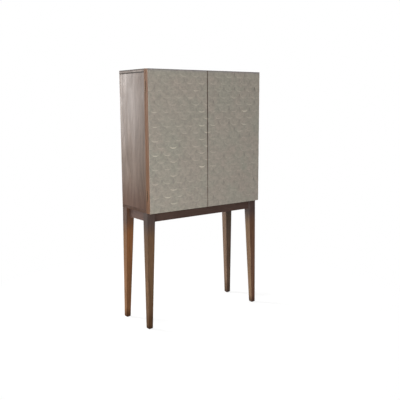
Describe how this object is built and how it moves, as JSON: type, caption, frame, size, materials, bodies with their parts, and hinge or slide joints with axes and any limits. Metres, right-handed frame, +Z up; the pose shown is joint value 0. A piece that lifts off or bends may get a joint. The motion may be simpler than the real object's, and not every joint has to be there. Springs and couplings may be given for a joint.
{
  "type": "sideboard",
  "caption": "Tall two-door wooden cabinet on a four-legged stand, with carved fish-scale door faces, shelves inside, butt hinges and push latches.",
  "frame": {"origin": "on the floor, under the middle of the cabinet's width and depth", "axes": "+Z up, doors face -Y, +X to the right of someone who looks at the doors"},
  "size_m": [0.914, 0.35, 1.65],
  "materials": {
    "case_wood": "brown stained hardwood, satin lacquer",
    "stand_wood": "brown stained hardwood, satin lacquer",
    "inner_wood": "brown stained hardwood, thin lacquer",
    "back_ply": "stained plywood",
    "door_wood": "brown stained hardwood, satin lacquer",
    "carved_face": "carved fish scales, grey-taupe lacquer with pale rubbed rims",
    "hinge_brass": "dark antique brass",
    "strike_steel": "zinc plated",
    "latch_plastic": "moulded, dark brown",
    "glide_plastic": "moulded, dark"
  },
  "bodies": {
    "cabinet": {"top_board": "case_wood", "bottom_board": "case_wood", "left_side_panel": "case_wood", "right_side_panel": "case_wood", "left_stile": "case_wood", "right_stile": "case_wood", "top_rail": "case_wood", "bottom_rail": "case_wood", "front_left_leg": "stand_wood", "front_right_leg": "stand_wood", "back_left_leg": "stand_wood", "back_right_leg": "stand_wood", "front_apron": "stand_wood", "back_apron": "stand_wood", "left_apron": "stand_wood", "right_apron": "stand_wood", "lower_shelf": "inner_wood", "upper_shelf": "inner_wood", "lower_left_cleat": "inner_wood", "lower_right_cleat": "inner_wood", "upper_left_cleat": "inner_wood", "upper_right_cleat": "inner_wood", "front_left_corner_block": "inner_wood", "front_right_corner_block": "inner_wood", "back_left_corner_block": "inner_wood", "back_right_corner_block": "inner_wood", "back_panel": "back_ply", "left_hinge_frame_leaves": "hinge_brass", "left_hinge_pins": "hinge_brass", "right_hinge_frame_leaves": "hinge_brass", "right_hinge_pins": "hinge_brass", "left_latch_housing": "latch_plastic", "right_latch_housing": "latch_plastic", "foot_glides": "glide_plastic"},
    "left_door": {"left_door_core": "door_wood", "left_scale_panel": "carved_face", "left_hinge_door_leaves": "hinge_brass", "left_strike_plate": "strike_steel"},
    "right_door": {"right_door_core": "door_wood", "right_scale_panel": "carved_face", "right_hinge_door_leaves": "hinge_brass", "right_strike_plate": "strike_steel"},
    "left_plunger": {"left_latch_plunger": "latch_plastic"},
    "right_plunger": {"right_latch_plunger": "latch_plastic"}
  },
  "joints": [
    {"name": "left_door_hinge", "type": "hinge", "parent": "cabinet", "child": "left_door", "pos_m": [-0.45, -0.1435, 1.205], "axis": [0, 0, -1], "range_deg": [0, 165]},
    {"name": "right_door_hinge", "type": "hinge", "parent": "cabinet", "child": "right_door", "pos_m": [0.45, -0.1435, 1.205], "axis": [0, 0, 1], "range_deg": [0, 165]},
    {"name": "left_plunger_push", "type": "slide", "parent": "cabinet", "child": "left_plunger", "axis": [0, 1, 0], "range_m": [0, 0.003], "stiffness_N_per_m": 200, "springref_m": -0.004},
    {"name": "right_plunger_push", "type": "slide", "parent": "cabinet", "child": "right_plunger", "axis": [0, 1, 0], "range_m": [0, 0.003], "stiffness_N_per_m": 200, "springref_m": -0.004}
  ]
}
